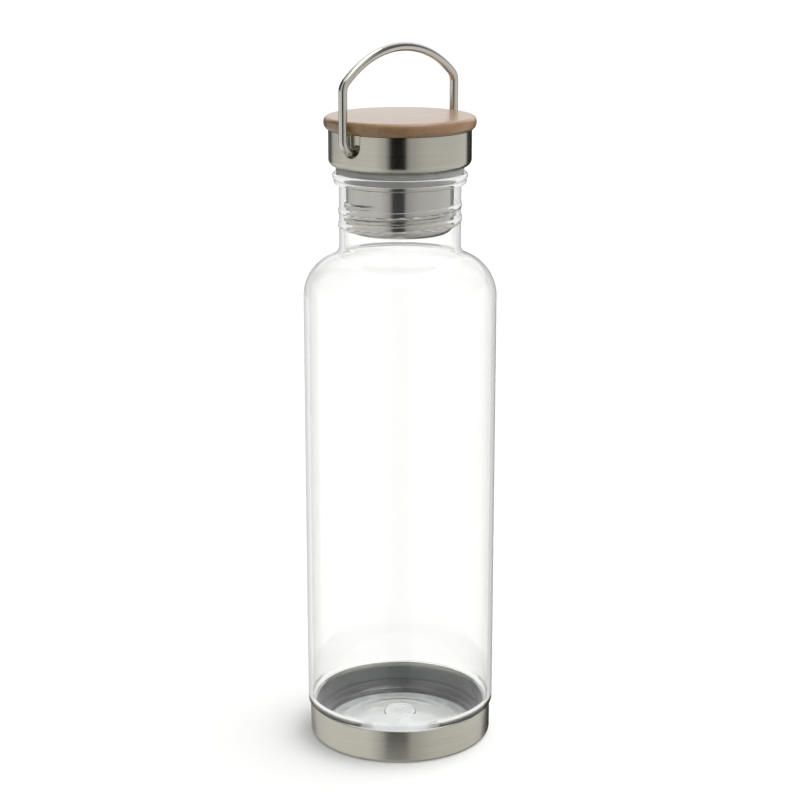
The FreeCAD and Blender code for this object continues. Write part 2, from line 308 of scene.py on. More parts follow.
def turned(name, line, shape=plainly_round, angles=ALL_ROUND, sharp_angle=SHARP_ANGLE):
    """Body of revolution. shape(angle, r, z) gives the x, y and z of its points."""
    angle, r = np.meshgrid(angles, line[:, 0])
    z = np.repeat(line[:, 1:2], len(angles), axis=1)
    x, y, z = shape(angle, r, z)
    first_pole = line[0, 0] < ON_AXIS_R
    last_pole = line[-1, 0] < ON_AXIS_R
    vertices = []
    for i in range(len(line)):
        row = np.stack([x[i], y[i], z[i]], axis=1)
        pole = (i == 0 and first_pole) or (i == len(line) - 1 and last_pole)
        vertices.append(row[:1] if pole else row)
    faces = grid_faces(len(line), len(angles), not first_pole, first_pole, last_pole)
    return mesh_object(name, np.concatenate(vertices), faces, sharp_angle)


def rib_share(angle, z, start, start_z, turns, half, flank, run_out):
    """0 beside a helical rib, rising over its flank to 1 on its crest, and fading at its ends."""
    share = np.zeros_like(z)
    first = ((angle - start) / TURN) % 1.0
    for k in range(math.ceil(turns) + 1):
        turn = first + k
        across = half - np.abs(z - start_z - PITCH * turn)
        from_end = np.minimum(turn, turns - turn)
        share = np.maximum(share, smooth(across / flank) * smooth(from_end / run_out))
    return share


def bottle_line():
    """Outline of the clear bottle, up its outside and down its inside."""
    half_turn = math.tan(SHOULDER_TILT / 2)
    lower_z = SHOULDER_START_Z + SHOULDER_R * half_turn
    upper_z = lower_z + (BODY_R - NECK_R) / math.tan(SHOULDER_TILT)
    drop = GLASS_WALL * half_turn
    bead_top = LIP_TOP_Z - LIP_BEAD_HEIGHT
    bead_bottom = bead_top - LOWER_BEAD_HEIGHT
    groove_top = bead_top + BEAD_GROOVE_HEIGHT
    mark_z = FLOOR_Z + PUSH_UP_RISE + MARK_RISE
    under_mark_z = BOTTLE_FOOT_Z + PUSH_UP_RISE + MARK_RISE
    line = rounded([
        (0, under_mark_z, 0),
        (MARK_R - MARK_DRAFT, under_mark_z, MARK_FILLET_R),
        (MARK_R, BOTTLE_FOOT_Z + PUSH_UP_RISE, MARK_FILLET_R),
        (PUSH_UP_MIDDLE_R, BOTTLE_FOOT_Z + PUSH_UP_MIDDLE_RISE, PUSH_UP_MIDDLE_FILLET_R),
        (PUSH_UP_R, BOTTLE_FOOT_Z, PUSH_UP_FILLET_R),
        (FOOT_R, BOTTLE_FOOT_Z, HEEL_R),
        (FOOT_R, FOOT_TOP_Z, SMALL_FILLET_R),
        (BODY_R, FOOT_TOP_Z, FOOT_EDGE_R),
        (BODY_R, lower_z, SHOULDER_R),
        (NECK_R, upper_z, NECK_FILLET_R),
        (NECK_R, bead_bottom, SMALL_FILLET_R),
        (LOWER_BEAD_R, bead_bottom, BEAD_FILLET_R),
        (LOWER_BEAD_R, bead_top, SMALL_FILLET_R),
        (BEAD_GROOVE_R, bead_top, BEAD_GROOVE_FILLET_R),
        (BEAD_GROOVE_R, groove_top, BEAD_GROOVE_FILLET_R),
        (LIP_R, groove_top, BEAD_FILLET_R),
        (LIP_R, LIP_TOP_Z, LIP_FILLET_R),
        (BORE_R, LIP_TOP_Z, MOUTH_FILLET_R),
        (BORE_R, upper_z - drop, NECK_FILLET_R + GLASS_WALL),
        (BODY_R - GLASS_WALL, lower_z - drop, SHOULDER_R - GLASS_WALL),
        (BODY_R - GLASS_WALL, FOOT_TOP_Z + INNER_STEP_RISE, INNER_STEP_UPPER_R),
        (FOOT_R - GLASS_WALL, FOOT_TOP_Z - INNER_STEP_DROP, INNER_STEP_LOWER_R),
        (FOOT_R - GLASS_WALL, FLOOR_Z, HEEL_R - GLASS_WALL),
        (PUSH_UP_R, FLOOR_Z, PUSH_UP_FILLET_R),
        (PUSH_UP_MIDDLE_R, FLOOR_Z + PUSH_UP_MIDDLE_RISE, PUSH_UP_MIDDLE_FILLET_R),
        (MARK_R, FLOOR_Z + PUSH_UP_RISE, MARK_FILLET_R),
        (MARK_R - MARK_DRAFT, mark_z, MARK_FILLET_R),
        (NUB_R, mark_z, NUB_FILLET_R),
        (NUB_R, mark_z + NUB_RISE, NUB_FILLET_R),
        (0, mark_z + NUB_RISE, 0),
    ])
    line = refined(line, BODY_ROWS_LOW_Z, BODY_ROWS_HIGH_Z, BODY_ROW)
    return refined(line, THREAD_LOW_Z, THREAD_HIGH_Z, THREAD_ROW)


def bottle_shape(angle, r, z):
    """The neck with its rib, standing a little out of the outside and farther out of the inside."""
    on_neck = (z > THREAD_LOW_Z) & (z < THREAD_HIGH_Z)
    outside = on_neck & (np.abs(r - NECK_R) < ON_WALL)
    inside = on_neck & (np.abs(r - BORE_R) < ON_WALL)
    helix = (FEMALE_START, FEMALE_START_Z, FEMALE_TURNS)
    outer = rib_share(angle, z, *helix, FEMALE_OUTER_HALF, FEMALE_OUTER_FLANK, FEMALE_RUN_OUT)
    inner = rib_share(angle, z, *helix, FEMALE_INNER_HALF, FEMALE_INNER_FLANK, FEMALE_RUN_OUT)
    r = r + np.where(outside, FEMALE_OUTER_RISE * outer, 0) - np.where(inside, FEMALE_INNER_RISE * inner, 0)
    return plainly_round(angle, r, z)


def make_bottle():
    return turned("clear_bottle", bottle_line(), bottle_shape)


def make_cup():
    return turned("steel_foot_cup", rounded([
        (0, 0, 0),
        (CUP_R, 0, CUP_CORNER_R),
        (CUP_R, CUP_RIM_Z, CUP_RIM_R),
        (CUP_R - CUP_WALL, CUP_RIM_Z, CUP_RIM_R),
        (CUP_R - CUP_WALL, CUP_WALL, CUP_CORNER_R - CUP_WALL),
        (0, CUP_WALL, 0),
    ]))


def make_seal():
    return turned("silicone_seal", rounded([
        (SEAL_INNER_R, SEAL_SEAM_Z, 0),
        (SEAL_INNER_R, SEAL_SKIRT_Z, SEAL_SKIRT_INNER_FILLET_R),
        (SEAL_SKIRT_R, SEAL_SKIRT_Z, SEAL_SKIRT_OUTER_FILLET_R),
        (SEAL_SKIRT_R, LIP_TOP_Z, 0),
        (SEAL_R, LIP_TOP_Z, SEAL_EDGE_R),
        (SEAL_R, SHELL_BOTTOM_Z, SEAL_EDGE_R),
        (SEAL_INNER_R, SHELL_BOTTOM_Z, 0),
    ]))


def plug_shape(angle, r, z):
    """The plug's wall with the rolled thread standing out of it."""
    share = rib_share(angle, z, MALE_START, MALE_START_Z, MALE_TURNS, MALE_HALF, MALE_FLANK, MALE_RUN_OUT)
    return plainly_round(angle, r + np.where(np.abs(r - PLUG_R) < ON_WALL, MALE_RISE * share, 0), z)


def make_plug():
    line = rounded([
        (0, PLUG_BOTTOM_Z, 0),
        (PLUG_R, PLUG_BOTTOM_Z, PLUG_CORNER_R),
        (PLUG_R, SHELL_BOTTOM_Z, 0),
        (PLUG_R - STEEL, SHELL_BOTTOM_Z, 0),
        (PLUG_R - STEEL, PLUG_BOTTOM_Z + STEEL, PLUG_CORNER_R - STEEL),
        (0, PLUG_BOTTOM_Z + STEEL, 0),
    ])
    line = refined(line, PLUG_THREAD_LOW_Z, PLUG_THREAD_HIGH_Z, THREAD_ROW, low_r=PLUG_R - STEEL / 2)
    return turned("threaded_plug", line, plug_shape)


def make_bamboo_top():
    return turned("bamboo_top", rounded([
        (0, SPIGOT_Z, 0),
        (SPIGOT_R, SPIGOT_Z, SPIGOT_EDGE_R),
        (SPIGOT_R, SHELL_TOP_Z, 0),
        (DISC_R, SHELL_TOP_Z, DISC_BOTTOM_EDGE_R),
        (DISC_R, DISC_TOP_Z, DISC_TOP_EDGE_R),
        (0, DISC_TOP_Z, 0),
    ]))


def pressed_in(distance, depth, edge, wall, fillet):
    """Depth of a pressed pocket's surface at a signed distance inside its outline."""
    over_edge = edge - np.sqrt(np.clip(edge ** 2 - np.clip(distance + edge, 0, edge) ** 2, 0, None))
    down_wall = edge + (depth - fillet - edge) * np.clip(distance / wall, 0, 1)
    to_back = np.clip(wall + fillet - distance, 0, fillet)
    round_back = depth - fillet + np.sqrt(np.clip(fillet ** 2 - to_back ** 2, 0, None))
    return np.where(distance < 0, over_edge, np.where(distance < wall, down_wall, round_back))


def shell_shape(angle, r, z):
    """The lid's steel wall with a U-shaped pocket pressed into it at each end of the pivot line."""
    x, y = r * np.cos(angle), r * np.sin(angle)
    side = np.sign(x)
    below = np.minimum(z - POCKET_ARC_Z, 0)
    for grow, edge in ((0.0, POCKET_EDGE_R), (STEEL, POCKET_INNER_EDGE_R)):
        distance = POCKET_HALF + grow - np.hypot(y, below)
        depth = np.abs(x) - (POCKET_BACK_X - grow)
        drop = pressed_in(distance, depth, edge, POCKET_WALL_RUN, POCKET_BACK_FILLET_R)
        on_wall = (np.abs(r - (SHELL_R - grow)) < ON_WALL) & (distance > -edge)
        x = np.where(on_wall, x - side * drop, x)
    return x, y, z


def make_shell():
    """The shell, with rows and columns close together at its pockets, and bored for the wire."""
    line = rounded([
        (SHELL_SEAM_R, SHELL_BOTTOM_Z, 0),
        (SHELL_R, SHELL_BOTTOM_Z, SHELL_CORNER_R),
        (SHELL_R, SHELL_TOP_Z, 0),
        (SHELL_R - STEEL, SHELL_TOP_Z, 0),
        (SHELL_R - STEEL, SHELL_BOTTOM_Z + STEEL, SHELL_CORNER_R - STEEL),
        (PLUG_R - STEEL, SHELL_BOTTOM_Z + STEEL, 0),
        (PLUG_R - STEEL, SHELL_BOTTOM_Z, 0),
    ])
    line = refined(line, POCKET_ROWS_LOW_Z, SHELL_TOP_Z, POCKET_ROW)
    columns = np.arange(-POCKET_COLUMNS_HALF, POCKET_COLUMNS_HALF + POCKET_ROW / 10, POCKET_ROW)
    dense = np.arcsin(columns / SHELL_R)
    sparse = np.linspace(dense[-1], math.pi - dense[-1], SHELL_SIDE_COLUMNS)[1:-1]
    angles = np.concatenate([dense, sparse, dense + math.pi, sparse + math.pi])
    shell = turned("lid_steel_shell", line, shell_shape, angles, SHELL_SHARP_ANGLE)
    bpy.ops.mesh.primitive_cylinder_add(
        vertices=WIRE_HOLE_SIDES, radius=WIRE_HOLE_R * MM, depth=2 * SHELL_R * MM,
        location=(0, 0, PIVOT_Z * MM), rotation=(0, math.pi / 2, 0),
    )
    drill = bpy.context.object
    cut = shell.modifiers.new("wire_holes", "BOOLEAN")
    cut.operation = "DIFFERENCE"
    cut.solver = "EXACT"
    cut.object = drill
    graph = bpy.context.evaluated_depsgraph_get()
    bored = bpy.data.meshes.new_from_object(shell.evaluated_get(graph))
    shell.modifiers.clear()
    shell.data = bored
    bpy.data.objects.remove(drill)
    bored.shade_smooth()
    bored.set_sharp_from_angle(angle=SHELL_SHARP_ANGLE)
    return shell


def arc_points(centre, radius, start, end, step):
    """Points (x, z) round an arc from one angle to another."""
    count = math.ceil(abs(end - start) / step)
    return [
        (centre[0] + radius * math.cos(a), centre[1] + radius * math.sin(a))
        for a in np.linspace(start, end, count + 1)
    ]


def make_handle():
    """The bent wire, with how far along and where round the wire each point is as an attribute."""
    arch_z = ARCH_TOP_Z - ARCH_R
    corner_x = LEG_X - UPPER_BEND_R
    corner_z = arch_z + math.sqrt((ARCH_R - UPPER_BEND_R) ** 2 - corner_x ** 2)
    arch_angle = math.atan2(corner_z - arch_z, corner_x)
    bend = (LEG_X - LOWER_BEND_R, PIVOT_Z + LOWER_BEND_R)
    right = [(x, PIVOT_Z) for x in np.linspace(WIRE_END_X, bend[0], WIRE_END_POINTS)[:-1]]
    right += arc_points(bend, LOWER_BEND_R, -math.pi / 2, 0, BEND_STEP)
    right += [(LEG_X, z) for z in np.linspace(bend[1], corner_z, LEG_POINTS)[1:-1]]
    right += arc_points((corner_x, corner_z), UPPER_BEND_R, 0, arch_angle, BEND_STEP)
    right += arc_points((0, arch_z), ARCH_R, arch_angle, math.pi / 2, ARCH_STEP)[1:]
    path = np.array(right + [(-x, z) for x, z in right[-2::-1]])
    tangent = np.gradient(path, axis=0)
    tangent /= np.linalg.norm(tangent, axis=1)[:, None]
    across = np.stack([tangent[:, 1], -tangent[:, 0]], axis=1)
    along = np.concatenate([[0], np.cumsum(np.linalg.norm(np.diff(path, axis=0), axis=1))])
    around = np.arange(WIRE_SIDES) * TURN / WIRE_SIDES
    last = len(path) - 1
    end_r = WIRE_R - WIRE_CHAMFER
    # Point of the path, radius there, and how far the ring is moved along the path.
    stations = [(0, 0.0, 0.0), (0, end_r, 0.0), (0, WIRE_R, WIRE_CHAMFER)]
    stations += [(i, WIRE_R, 0.0) for i in range(1, last)]
    stations += [(last, WIRE_R, -WIRE_CHAMFER), (last, end_r, 0.0), (last, 0.0, 0.0)]
    vertices, where = [], []
    for index, (i, radius, shift) in enumerate(stations):
        centre = path[i] + tangent[i] * shift
        ring = around[:1] if index in (0, len(stations) - 1) else around
        for a in ring:
            flat = radius * math.cos(a)
            vertices.append((
                centre[0] + across[i, 0] * flat, radius * math.sin(a), centre[1] + across[i, 1] * flat,
            ))
            where.append((math.cos(a), math.sin(a), along[i] + shift))
    faces = grid_faces(len(stations), WIRE_SIDES, False, True, True)
    handle = mesh_object("wire_bail", vertices, faces)
    attribute = handle.data.attributes.new("on_wire", "FLOAT_VECTOR", "POINT")
    attribute.data.foreach_set("vector", np.array(where, np.float32).ravel())
    return handle


# ---------------------------------------------------------------- materials

class Graph:
    """A material whose Principled shader is fed by nodes added one call at a time."""

    def __init__(self, name):
        self.material = bpy.data.materials.new(name)
        self.material.use_nodes = True
        self.tree = self.material.node_tree
        self.shader = self.tree.nodes["Principled BSDF"]

    def put(self, socket, value):
        if isinstance(value, bpy.types.NodeSocket):
            self.tree.links.new(value, socket)
        else:
            socket.default_value = value

    def set(self, **values):
        for name, value in values.items():
            self.put(self.shader.inputs[name.replace("_", " ")], value)

    def node(self, kind, inputs, **settings):
        made = self.tree.nodes.new("ShaderNode" + kind)
        for name, value in settings.items():
            setattr(made, name, value)
        for name, value in inputs.items():
            self.put(made.inputs[name], value)
        return made

    def point(self):
        return self.node("TexCoord", {}).outputs["Object"]

    def split(self, vector):
        return self.node("SeparateXYZ", {0: vector}).outputs

    def join(self, x, y, z):
        return self.node("CombineXYZ", {0: x, 1: y, 2: z}).outputs[0]

    def math(self, operation, a, b=0.0, c=0.0):
        return self.node("Math", {0: a, 1: b, 2: c}, operation=operation).outputs[0]

    def noise(self, vector, scale, detail, roughness=0.5):
        inputs = {"Vector": vector, "Scale": scale, "Detail": detail, "Roughness": roughness}
        return self.node("TexNoise", inputs).outputs[0]

    def scaled(self, vector, x, y, z):
        """The vector times x, y and z, which are cycles per metre where a noise of scale 1 takes it."""
        return self.node("VectorMath", {0: vector, 1: (x, y, z)}, operation="MULTIPLY").outputs[0]

    def span(self, value, low, high, to_low, to_high):
        """The value's stretch from low to high as to_low to to_high, and no farther."""
        made = self.node("MapRange", {
            "Value": value, "From Min": low, "From Max": high, "To Min": to_low, "To Max": to_high,
        })
        return made.outputs[0]

    def mix(self, factor, a, b):
        """Colour a where the factor is 0, and colour b where it is 1."""
        made = self.node("Mix", {}, data_type="RGBA")
        self.put(made.inputs["Factor"], factor)
        for name, value in (("A", a), ("B", b)):
            socket = [s for s in made.inputs if s.name == name and s.type == "RGBA"][0]
            if isinstance(value, tuple):
                value = (*value, 1.0)
            self.put(socket, value)
        return [s for s in made.outputs if s.type == "RGBA"][0]

    def bump(self, height, distance, strength, below=None):
        inputs = {"Height": height, "Distance": distance, "Strength": strength}
        if below is not None:
            inputs["Normal"] = below
        return self.node("Bump", inputs).outputs[0]


def painted_light_and_shade_in_cup(g, steel, radius, z):
    """The cup's colour, with painted shade on its inner wall and painted light on its floor in place of a
    bright reflection, and the floor's share.
    """
    inside_r = CUP_R - CUP_WALL + PAINTED_INSIDE_MARGIN
    inside_z = CUP_WALL - PAINTED_INSIDE_MARGIN
    inside = g.math(
        "MULTIPLY",
        g.span(radius, inside_r * MM, (inside_r + PAINTED_INSIDE_FADE) * MM, 1, 0),
        g.span(z, (inside_z - PAINTED_INSIDE_FADE) * MM, inside_z * MM, 0, 1),
    )
    # The painted shade on the wall fades out below the rim.
    inside = g.math("MULTIPLY", inside, g.span(z, PAINTED_SHADE_WALL_TOP_Z * MM, PAINTED_SHADE_END_Z * MM, 1, 0))
    painted_light_floor = g.math("MULTIPLY", inside, g.span(radius, PAINTED_LIGHT_FLOOR_R * MM, PAINTED_LIGHT_FLOOR_EDGE_R * MM, 1, 0))
    streaks = g.span(g.noise(g.scaled(g.point(), 90, 90, 500), 1.0, 4.0, 0.6), 0.35, 0.65, 0, 1)
    # Painted shade: a dark steel colour on the inner wall.
    painted_shade_wall_colour = g.mix(streaks, (0.06, 0.06, 0.064), (0.15, 0.15, 0.154))
    # Painted light: a near-white colour on the floor, in place of a bright reflection.
    painted_light_floor_colour = g.mix(streaks, (0.92, 0.94, 0.96), (0.98, 0.985, 0.99))
    return g.mix(painted_light_floor, g.mix(inside, steel, painted_shade_wall_colour), painted_light_floor_colour), painted_light_floor


def brushed_steel(name, colour, roughness, anisotropy, grain=1.0, painted_inside=False):
    """Steel brushed round the Z axis: its marks are long round the axis and short across it."""
    g = Graph(name)
    x, y, z = g.split(g.point())[:3]
    radius = g.math("SQRT", g.math("ADD", g.math("MULTIPLY", x, x), g.math("MULTIPLY", y, y)))
    brushed = g.join(x, y, g.math("ADD", z, radius))
    coarse = g.noise(g.scaled(brushed, 22, 22, 1500), 1.0, 4.0, 0.6)
    fine = g.noise(g.scaled(brushed, 70, 70, 7000), 1.0, 3.0, 0.6)
    cloud = g.noise(g.point(), 60.0, 3.0)
    marks = g.math("MULTIPLY_ADD", coarse, 0.6, g.math("MULTIPLY", fine, 0.4))
    light = tuple(min(1.0, c * (1 + 0.06 * grain)) for c in colour)
    dark = tuple(c * (1 - 0.09 * grain) for c in colour)
    base = g.mix(g.span(marks, 0.3, 0.7, 0, 1), dark, light)
    base = g.mix(g.span(cloud, 0.3, 0.7, 0, 0.25), base, tuple(c * 0.93 for c in colour))
    if painted_inside:
        base, painted_light_floor = painted_light_and_shade_in_cup(g, base, radius, z)
        # The floor with painted light is mostly not metal, so that its near-white colour shows.
        g.set(Metallic=g.math("SUBTRACT", 1.0, g.math("MULTIPLY", painted_light_floor, PAINTED_LIGHT_FLOOR_NOT_METAL)))
    else:
        g.set(Metallic=1.0)
    g.set(Base_Color=base, Anisotropic=anisotropy, Anisotropic_Rotation=0.25)
    g.set(Tangent=g.node("Tangent", {}, direction_type="RADIAL", axis="Z").outputs[0])
    g.set(Roughness=g.span(marks, 0.3, 0.7, roughness - 0.04 * grain, roughness + 0.05 * grain))
    g.set(Normal=g.bump(marks, 0.00001, 0.30 * grain))
    return g.material


def polished_wire(name):
    """Polished steel with marks drawn out along the wire, which the on_wire attribute follows."""
    g = Graph(name)
    where = g.node("Attribute", {}, attribute_name="on_wire").outputs["Vector"]
    drawn = g.noise(g.scaled(where, 9, 9, 0.05), 1.0, 4.0, 0.6)
    scuffs = g.noise(g.point(), 900.0, 4.0, 0.65)
    g.set(Metallic=1.0)
    g.set(Base_Color=g.mix(g.span(drawn, 0.35, 0.65, 0, 1), (0.60, 0.575, 0.53), (0.72, 0.70, 0.655)))
    g.set(Roughness=g.math("ADD", g.span(scuffs, 0.4, 0.75, 0.11, 0.19), g.span(drawn, 0.3, 0.7, 0.0, 0.05)))
    g.set(Normal=g.bump(drawn, 0.000012, 0.5))
    return g.material


def clear_bottle(name):
    """Clear wall with slight waves, and painted shade where it is seen edge on: its colour darkens there to
    draw dark edge lines.
    """
    g = Graph(name)
    point = g.point()
    waves = g.noise(g.scaled(point, 1, 1, 0.35), 55.0, 2.0, 0.4)
    ripple = g.noise(g.scaled(point, 1, 1, 0.5), 260.0, 2.0, 0.4)
    # Painted shade: the tint darkens towards edge on, to draw the dark edge lines.
    facing = g.node("LayerWeight", {"Blend": 0.22}).outputs["Facing"]
    g.set(Base_Color=g.mix(g.span(facing, 0.55, 1.0, 0, 1), (0.995, 0.997, 0.993), (0.88, 0.90, 0.89)))
    g.set(Transmission_Weight=1.0, IOR=1.5)
    g.set(Roughness=g.span(g.noise(point, 400.0, 3.0), 0.45, 0.8, 0.0, 0.012))
    g.set(Normal=g.bump(ripple, 0.000015, 0.25, g.bump(waves, 0.00012, 0.35)))
    # Lamp light and what metal mirrors come straight through the thin wall.
    surface = g.shader.outputs[0]
    for ray in ("Is Reflection Ray", "Is Shadow Ray"):
        ray_kind = g.node("LightPath", {}).outputs[ray]
        through = g.node("BsdfTransparent", {"Color": (0.95, 0.955, 0.95, 1)}).outputs[0]
        surface = g.node("MixShader", {0: ray_kind, 1: surface, 2: through}).outputs[0]
    g.put(g.tree.nodes["Material Output"].inputs["Surface"], surface)
    return g.material


def silicone(name):
    g = Graph(name)
    grain = g.noise(g.point(), 1800.0, 4.0)
    cloud = g.noise(g.point(), 180.0, 3.0)
    g.set(Base_Color=g.mix(g.span(cloud, 0.3, 0.7, 0, 1), (0.66, 0.65, 0.635), (0.78, 0.77, 0.75)))
    g.set(Roughness=g.span(grain, 0.3, 0.7, 0.38, 0.52))
    g.set(Transmission_Weight=0.35, IOR=1.41)
    g.set(Normal=g.bump(grain, 0.00002, 0.3))
    return g.material


def moulded_plastic(name):
    g = Graph(name)
    grain = g.noise(g.point(), 2500.0, 4.0)
    cloud = g.noise(g.point(), 90.0, 3.0)
    g.set(Base_Color=g.mix(g.span(cloud, 0.3, 0.7, 0, 1), (0.74, 0.74, 0.72), (0.83, 0.83, 0.81)))
    g.set(Roughness=g.span(grain, 0.3, 0.7, 0.42, 0.58))
    g.set(Normal=g.bump(grain, 0.00003, 0.4))
    return g.material


def cured_adhesive(name):
    g = Graph(name)
    point = g.point()
    swirl = g.noise(point, 140.0, 5.0, 0.6)
    bubbles = g.node("TexVoronoi", {"Vector": point, "Scale": 420.0}).outputs["Distance"]
    tone = g.mix(g.span(swirl, 0.35, 0.65, 0, 1), (0.56, 0.57, 0.57), (0.70, 0.71, 0.71))
    g.set(Base_Color=g.mix(g.span(bubbles, 0.0, 0.12, 0.5, 0.0), tone, (0.82, 0.83, 0.83)))
    g.set(Roughness=g.span(swirl, 0.3, 0.7, 0.18, 0.34))
    g.set(Normal=g.bump(swirl, 0.00006, 0.6))
    return g.material


def bamboo(name):
    """Laminated strips along X, each with its own tone, with fibres and darker vessels in them."""
    g = Graph(name)
    point = g.point()
    x, y, z = g.split(point)[:3]
    wobble = g.math("MULTIPLY", g.noise(g.scaled(point, 12, 60, 12), 1.0, 1.0), 0.0007)
    strip_at = g.math("DIVIDE", g.math("ADD", y, wobble), BAMBOO_STRIP * MM)
    strip = g.math("FLOOR", strip_at)
    tone = g.node("TexWhiteNoise", {"W": strip}, noise_dimensions="1D").outputs["Value"]
    across = g.math("FRACT", strip_at)
    seam = g.math("MINIMUM", across, g.math("SUBTRACT", 1.0, across))
    fibre_at = g.join(g.math("MULTIPLY_ADD", tone, 0.7, x), y, z)
    fibre = g.noise(g.scaled(fibre_at, 35, 2600, 2600), 1.0, 4.0, 0.65)
    vessel = g.noise(g.scaled(fibre_at, 90, 1500, 1500), 1.0, 2.0, 0.5)
    figure = g.noise(g.scaled(fibre_at, 18, 260, 260), 1.0, 3.0, 0.55)
    base = g.mix(g.span(figure, 0.3, 0.7, 0, 1), (0.34, 0.180, 0.068), (0.48, 0.275, 0.118))
    base = g.mix(g.span(tone, 0.0, 1.0, 0.0, 0.22), base, (0.38, 0.205, 0.080))
    base = g.mix(g.span(fibre, 0.42, 0.72, 0.0, 0.45), base, (0.20, 0.100, 0.038))
    base = g.mix(g.span(vessel, 0.60, 0.72, 0.0, 0.5), base, (0.12, 0.058, 0.024))
    base = g.mix(g.span(seam, 0.0, 0.03, 0.3, 0.0), base, (0.17, 0.090, 0.038))
    g.set(Base_Color=base)
    g.set(Roughness=g.span(fibre, 0.3, 0.7, 0.34, 0.48), Coat_Weight=1.0, Coat_Roughness=0.28)
    height = g.math("SUBTRACT", g.math("MULTIPLY", fibre, 0.6), g.span(vessel, 0.60, 0.72, 0.0, 0.8))
    g.set(Normal=g.bump(height, 0.00005, 0.4))
    return g.material


# ---------------------------------------------------------------- the object

def place(piece, material, body, node):
    """Give a piece its material and its body, and hide the CAD node that it stands for."""
    piece.data.materials.clear()
    piece.data.materials.append(material)
    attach(piece, body)
    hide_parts(node)


# The cup's inside has painted shade on its wall and painted light on its floor.
cup_steel = brushed_steel("cup_brushed_steel", (0.64, 0.62, 0.53), 0.24, 0.88, painted_inside=True)
lid_steel = brushed_steel("lid_brushed_steel", (0.62, 0.60, 0.52), 0.22, 0.90, 0.8)
plug_steel = brushed_steel("plug_satin_steel", (0.60, 0.58, 0.54), 0.20, 0.85, 0.4)
adhesive = cured_adhesive("cured_adhesive")

place(make_cup(), cup_steel, "bottle", "base_cup")
place(make_bottle(), clear_bottle("clear_bottle_wall"), "bottle", "glass_bottle")
place(make_seal(), silicone("translucent_silicone"), "seal", "seal_ring")
place(make_plug(), plug_steel, "lid", "plug_cup")
place(make_shell(), lid_steel, "lid", "lid_shell")
place(make_bamboo_top(), bamboo("laminated_bamboo"), "lid", "bamboo_disc")
place(make_handle(), polished_wire("polished_wire"), "handle", "bail_handle")

# The hidden pieces keep their CAD shapes.
for node, material in (
    ("lid_core", moulded_plastic("moulded_core")),
    ("base_adhesive", adhesive),
    ("disc_adhesive", adhesive),
):
    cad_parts[node].data.materials.clear()
    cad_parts[node].data.materials.append(material)


# ---------------------------------------------------------------- the studio

CAMERA_AZIMUTH = math.radians(-48.0)
CAMERA_DISTANCE = 0.751
CAMERA_HEIGHT = 0.339
AIM_HEIGHT = 0.138
CAMERA_LENS = 89.1
CAMERA_SENSOR = 36.0
UP = Vector((0, 0, 1))
TOWARDS_CAMERA = Vector((math.sin(CAMERA_AZIMUTH), -math.cos(CAMERA_AZIMUTH), 0))
CAMERA_RIGHT = Vector((math.cos(CAMERA_AZIMUTH), math.sin(CAMERA_AZIMUTH), 0))

GROUND_R = 7.0
GROUND_Z = -0.0001
STUDIO_SIDES = 96

SURROUND_R = 700.0
SURROUND_LOW_Z = -1300.0
SURROUND_HIGH_Z = 1500.0
INNER_LEVEL = 0.95

# The world is white to look at, and gives less light to plain and to polished surfaces.
WORLD_FILL = 0.36
WORLD_GLOSS = 0.45

# Surround light as (degrees round from the camera's side, level): a black stripe in the middle, a wide soft
# box at each side of it, and black flags behind the object.
FOR_CUP = [
    (-180, 1.0), (-168, 0.95), (-160, 0.30), (-142, 0.20), (-132, 0.60), (-100, 0.78), (-40, 0.76),
    (-26, 0.57), (-16, 0.43), (8, 0.43), (22, 0.50), (40, 0.60), (100, 0.66), (126, 0.66),
    (133, 0.02), (171, 0.02), (177, 0.95), (180, 1.0),
]
FOR_BODY = [
    (-180, 1.0), (-172, 1.0), (-166, 0.40), (-148, 0.40), (-138, 0.80), (-40, 0.80), (-22, 0.50),
    (-14, 0.0), (8, 0.0), (13, 0.45), (40, 0.66), (130, 0.80), (140, 0.05), (173, 0.02), (177, 1.0),
    (180, 1.0),
]
FOR_LID = [
    (-180, 1.0), (-172, 0.95), (-166, 0.10), (-142, 0.10), (-132, 0.55), (-100, 0.76), (-40, 0.72),
    (-22, 0.45), (-14, 0.0), (8, 0.0), (13, 0.40), (40, 0.58), (100, 0.68), (128, 0.70),
    (135, 0.02), (172, 0.02), (177, 0.95), (180, 1.0),
]
FOR_HANDLE = [
    (-180, 1.0), (-150, 0.95), (-140, 0.04), (-75, 0.02), (-62, 0.55), (-22, 0.50), (-14, 0.0),
    (8, 0.0), (13, 0.40), (40, 0.60), (75, 0.55), (90, 0.10), (115, 0.10), (128, 0.60), (150, 0.95),
    (180, 1.0),
]
BANDS = (FOR_CUP, FOR_BODY, FOR_LID, FOR_HANDLE)
# Heights on the surround between which each band gives way to the one above it.
BAND_BLENDS = ((-265, -240), (55, 75), (290, 360))


def look_along(thing, direction):
    thing.rotation_mode = "QUATERNION"
    thing.rotation_quaternion = direction.to_track_quat("-Z", "Y")


def make_camera():
    data = bpy.data.cameras.new("camera")
    data.sensor_width = CAMERA_SENSOR
    data.lens = CAMERA_LENS
    camera = in_scene("camera", data)
    camera.location = TOWARDS_CAMERA * CAMERA_DISTANCE + UP * CAMERA_HEIGHT
    look_along(camera, UP * AIM_HEIGHT - camera.location)
    bpy.context.scene.camera = camera


